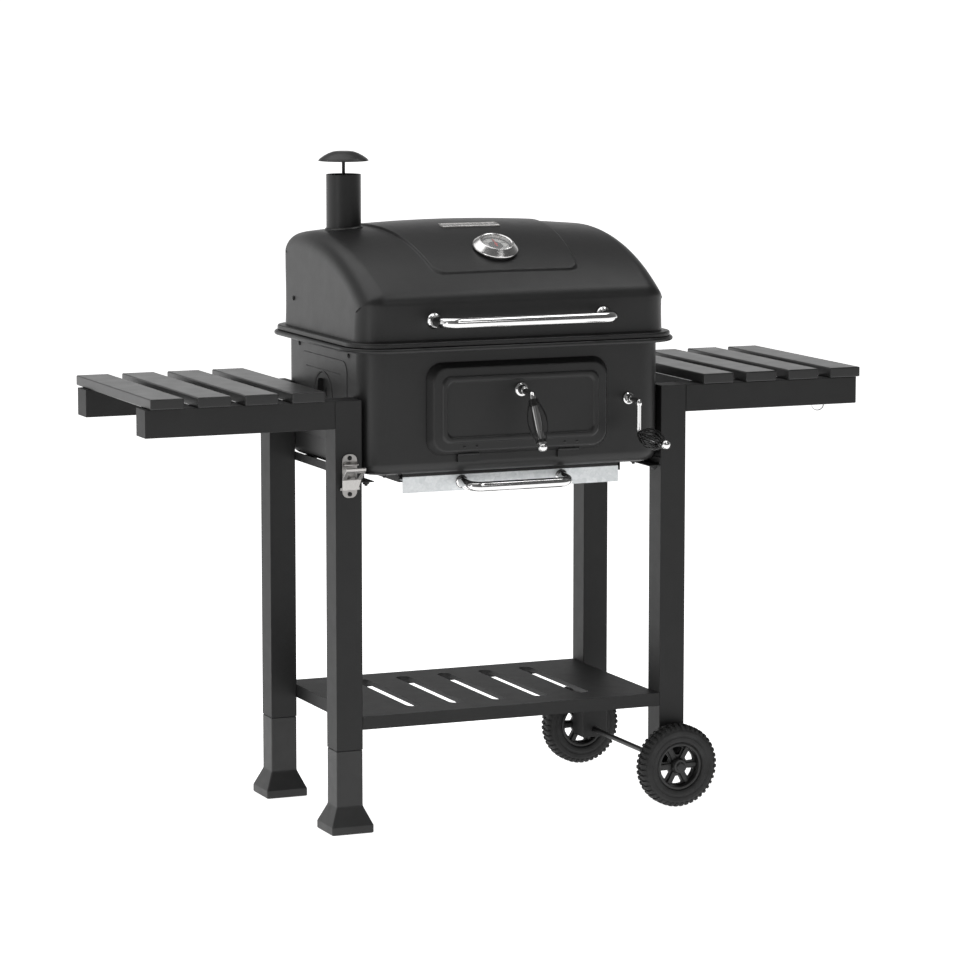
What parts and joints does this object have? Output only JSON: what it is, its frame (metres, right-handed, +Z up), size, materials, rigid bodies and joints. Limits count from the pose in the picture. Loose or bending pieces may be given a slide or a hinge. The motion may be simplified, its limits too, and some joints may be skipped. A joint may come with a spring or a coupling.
{
  "type": "charcoal trolley grill",
  "caption": "Charcoal trolley grill: domed lid with chimney, firebox on square legs, slatted side tables, stoking door, crank-lifted tray, ash drawer, shelf and wheels.",
  "frame": {"origin": "on the ground, below the centre of the whole object's bounding box", "axes": "+Z up; +X from the plastic feet towards the wheels, along the two side tables; the front with the stoking door faces -Y"},
  "size_m": [1.3976, 0.634, 1.2055],
  "materials": {
    "ash_drawer": "galvanised sheet",
    "ash_plate": "satin black heat-proof powder coat",
    "bottle_opener": "brushed nickel",
    "bottom_shelf": "matte black powder coat",
    "charcoal_tray": "black enamel",
    "chimney_cap": "satin black heat-proof powder coat",
    "chimney_tube": "satin black heat-proof powder coat",
    "cooking_grate_left": "black enamel",
    "cooking_grate_right": "black enamel",
    "crank_grip": "black moulded plastic",
    "crank_rod": "bright chrome plate",
    "damper_left": "satin black heat-proof powder coat",
    "damper_right": "satin black heat-proof powder coat",
    "door_handle": "bright chrome plate",
    "door_handle_grip": "satin black heat-proof powder coat",
    "door_hinge_left": "satin black heat-proof powder coat",
    "door_hinge_right": "satin black heat-proof powder coat",
    "drawer_crossbar": "matte black powder coat",
    "drawer_guide_left": "matte black powder coat",
    "drawer_guide_right": "matte black powder coat",
    "drawer_handle": "bright chrome plate",
    "firebox": "satin black heat-proof powder coat",
    "foot_front_left": "black moulded plastic",
    "foot_rear_left": "black moulded plastic",
    "leg_front_left": "matte black powder coat",
    "leg_front_right": "matte black powder coat",
    "leg_rear_left": "matte black powder coat",
    "leg_rear_right": "matte black powder coat",
    "lid": "satin black heat-proof powder coat",
    "lid_handle": "bright chrome plate",
    "lid_hinge_left": "satin black heat-proof powder coat",
    "lid_hinge_right": "satin black heat-proof powder coat",
    "lift_rack": "brushed stainless steel",
    "name_plate": "brushed stainless steel",
    "rack_link_left": "bright chrome plate",
    "rack_link_right": "bright chrome plate",
    "slat_left_1": "boards painted matte black",
    "slat_left_2": "boards painted matte black",
    "slat_left_3": "boards painted matte black",
    "slat_left_4": "boards painted matte black",
    "slat_right_1": "boards painted matte black",
    "slat_right_2": "boards painted matte black",
    "slat_right_3": "boards painted matte black",
    "slat_right_4": "boards painted matte black",
    "stoking_door": "satin black heat-proof powder coat",
    "support_bar_left": "matte black powder coat",
    "support_bar_right": "matte black powder coat",
    "table_rail_front_left": "matte black powder coat",
    "table_rail_front_right": "matte black powder coat",
    "table_rail_rear_left": "matte black powder coat",
    "table_rail_rear_right": "matte black powder coat",
    "thermometer": "brushed stainless steel",
    "thermometer_needle": "red lacquer",
    "tool_hook": "bright chrome plate",
    "tyre_front": "black rubber with tread",
    "tyre_rear": "black rubber with tread",
    "warming_rack": "bright chrome plate",
    "wheel_axle": "brushed stainless steel",
    "wheel_rim_front": "black moulded plastic",
    "wheel_rim_rear": "black moulded plastic"
  },
  "bodies": {
    "trolley": {"leg_front_left": "leg_front_left", "leg_front_right": "leg_front_right", "leg_rear_left": "leg_rear_left", "leg_rear_right": "leg_rear_right", "table_rail_front_left": "table_rail_front_left", "table_rail_front_right": "table_rail_front_right", "table_rail_rear_left": "table_rail_rear_left", "table_rail_rear_right": "table_rail_rear_right", "slat_left_1": "slat_left_1", "slat_left_2": "slat_left_2", "slat_left_3": "slat_left_3", "slat_left_4": "slat_left_4", "slat_right_1": "slat_right_1", "slat_right_2": "slat_right_2", "slat_right_3": "slat_right_3", "slat_right_4": "slat_right_4", "foot_front_left": "foot_front_left", "foot_rear_left": "foot_rear_left", "bottom_shelf": "bottom_shelf", "wheel_axle": "wheel_axle", "firebox": "firebox", "ash_plate": "ash_plate", "support_bar_left": "support_bar_left", "support_bar_right": "support_bar_right", "drawer_guide_left": "drawer_guide_left", "drawer_guide_right": "drawer_guide_right", "drawer_crossbar": "drawer_crossbar", "cooking_grate_left": "cooking_grate_left", "cooking_grate_right": "cooking_grate_right", "lid_hinge_left": "lid_hinge_left", "lid_hinge_right": "lid_hinge_right", "door_hinge_left": "door_hinge_left", "door_hinge_right": "door_hinge_right", "bottle_opener": "bottle_opener", "tool_hook": "tool_hook"},
    "wheel_front": {"wheel_rim_front": "wheel_rim_front", "tyre_front": "tyre_front"},
    "wheel_rear": {"wheel_rim_rear": "wheel_rim_rear", "tyre_rear": "tyre_rear"},
    "lid": {"lid": "lid", "lid_handle": "lid_handle", "chimney_tube": "chimney_tube", "thermometer": "thermometer", "name_plate": "name_plate"},
    "chimney_cap": {"chimney_cap": "chimney_cap"},
    "needle": {"thermometer_needle": "thermometer_needle"},
    "warming_rack": {"warming_rack": "warming_rack"},
    "rack_links": {"rack_link_left": "rack_link_left", "rack_link_right": "rack_link_right"},
    "stoking_door": {"stoking_door": "stoking_door"},
    "door_handle": {"door_handle": "door_handle", "door_handle_grip": "door_handle_grip"},
    "crank": {"crank_rod": "crank_rod"},
    "crank_grip": {"crank_grip": "crank_grip"},
    "charcoal_carriage": {"charcoal_tray": "charcoal_tray", "lift_rack": "lift_rack"},
    "ash_drawer": {"ash_drawer": "ash_drawer", "drawer_handle": "drawer_handle"},
    "damper_left": {"damper_left": "damper_left"},
    "damper_right": {"damper_right": "damper_right"}
  },
  "joints": [
    {"name": "lid_hinge", "type": "hinge", "parent": "trolley", "child": "lid", "pos_m": [-0.0018, 0.3115, 0.875], "axis": [-1, 0, 0], "range_deg": [0, 100]},
    {"name": "rack_on_lid", "type": "hinge", "parent": "lid", "child": "warming_rack", "pos_m": [-0.0018, 0.1985, 0.935], "axis": [-1, 0, 0], "range_deg": [-100, 0]},
    {"name": "rack_link_pivot", "type": "hinge", "parent": "trolley", "child": "rack_links", "pos_m": [-0.0018, 0.1835, 0.853], "axis": [-1, 0, 0], "range_deg": [0, 100]},
    {"name": "chimney_cap_slide", "type": "slide", "parent": "lid", "child": "chimney_cap", "axis": [0, 0, -1], "range_m": [0, 0.02]},
    {"name": "thermometer_pointer", "type": "hinge", "parent": "lid", "child": "needle", "pos_m": [-0.0018, -0.05056, 1.04198], "axis": [0, 0.4113, -0.9115], "range_deg": [-130, 130]},
    {"name": "door_hinge", "type": "hinge", "parent": "trolley", "child": "stoking_door", "pos_m": [-0.0018, -0.1545, 0.6775], "axis": [1, 0, 0], "range_deg": [0, 55]},
    {"name": "door_latch", "type": "hinge", "parent": "stoking_door", "child": "door_handle", "pos_m": [-0.0018, -0.166, 0.791], "axis": [0, -1, 0], "range_deg": [0, 90]},
    {"name": "crank_turn", "type": "hinge", "parent": "trolley", "child": "crank", "pos_m": [0.2175, -0.149, 0.7634], "axis": [0, -1, 0], "range_deg": [0, 343.78]},
    {"name": "crank_grip_spin", "type": "hinge", "parent": "crank", "child": "crank_grip", "pos_m": [0.2175, -0.196, 0.7034], "axis": [0, -0.9981, -0.0618], "continuous": true},
    {"name": "tray_lift", "type": "slide", "parent": "trolley", "child": "charcoal_carriage", "axis": [0, 0, 1], "range_m": [0, 0.06]},
    {"name": "drawer_slide", "type": "slide", "parent": "trolley", "child": "ash_drawer", "axis": [0, -1, 0], "range_m": [0, 0.26]},
    {"name": "wheel_front_spin", "type": "hinge", "parent": "trolley", "child": "wheel_front", "pos_m": [0.3172, -0.155, 0.077], "axis": [0, 1, 0], "continuous": true},
    {"name": "wheel_rear_spin", "type": "hinge", "parent": "trolley", "child": "wheel_rear", "pos_m": [0.3172, 0.278, 0.077], "axis": [0, 1, 0], "continuous": true},
    {"name": "damper_left_turn", "type": "hinge", "parent": "trolley", "child": "damper_left", "pos_m": [-0.2947, 0.06, 0.765], "axis": [1, 0, 0], "range_deg": [0, 60]},
    {"name": "damper_right_turn", "type": "hinge", "parent": "trolley", "child": "damper_right", "pos_m": [0.2911, 0.06, 0.765], "axis": [1, 0, 0], "range_deg": [0, 60]}
  ],
  "couplings": [
    {"joint": "rack_on_lid", "follows": "lid_hinge", "ratio": -1},
    {"joint": "rack_link_pivot", "follows": "lid_hinge", "ratio": 1},
    {"joint": "crank_turn", "follows": "tray_lift", "rad_per_m": 100}
  ]
}
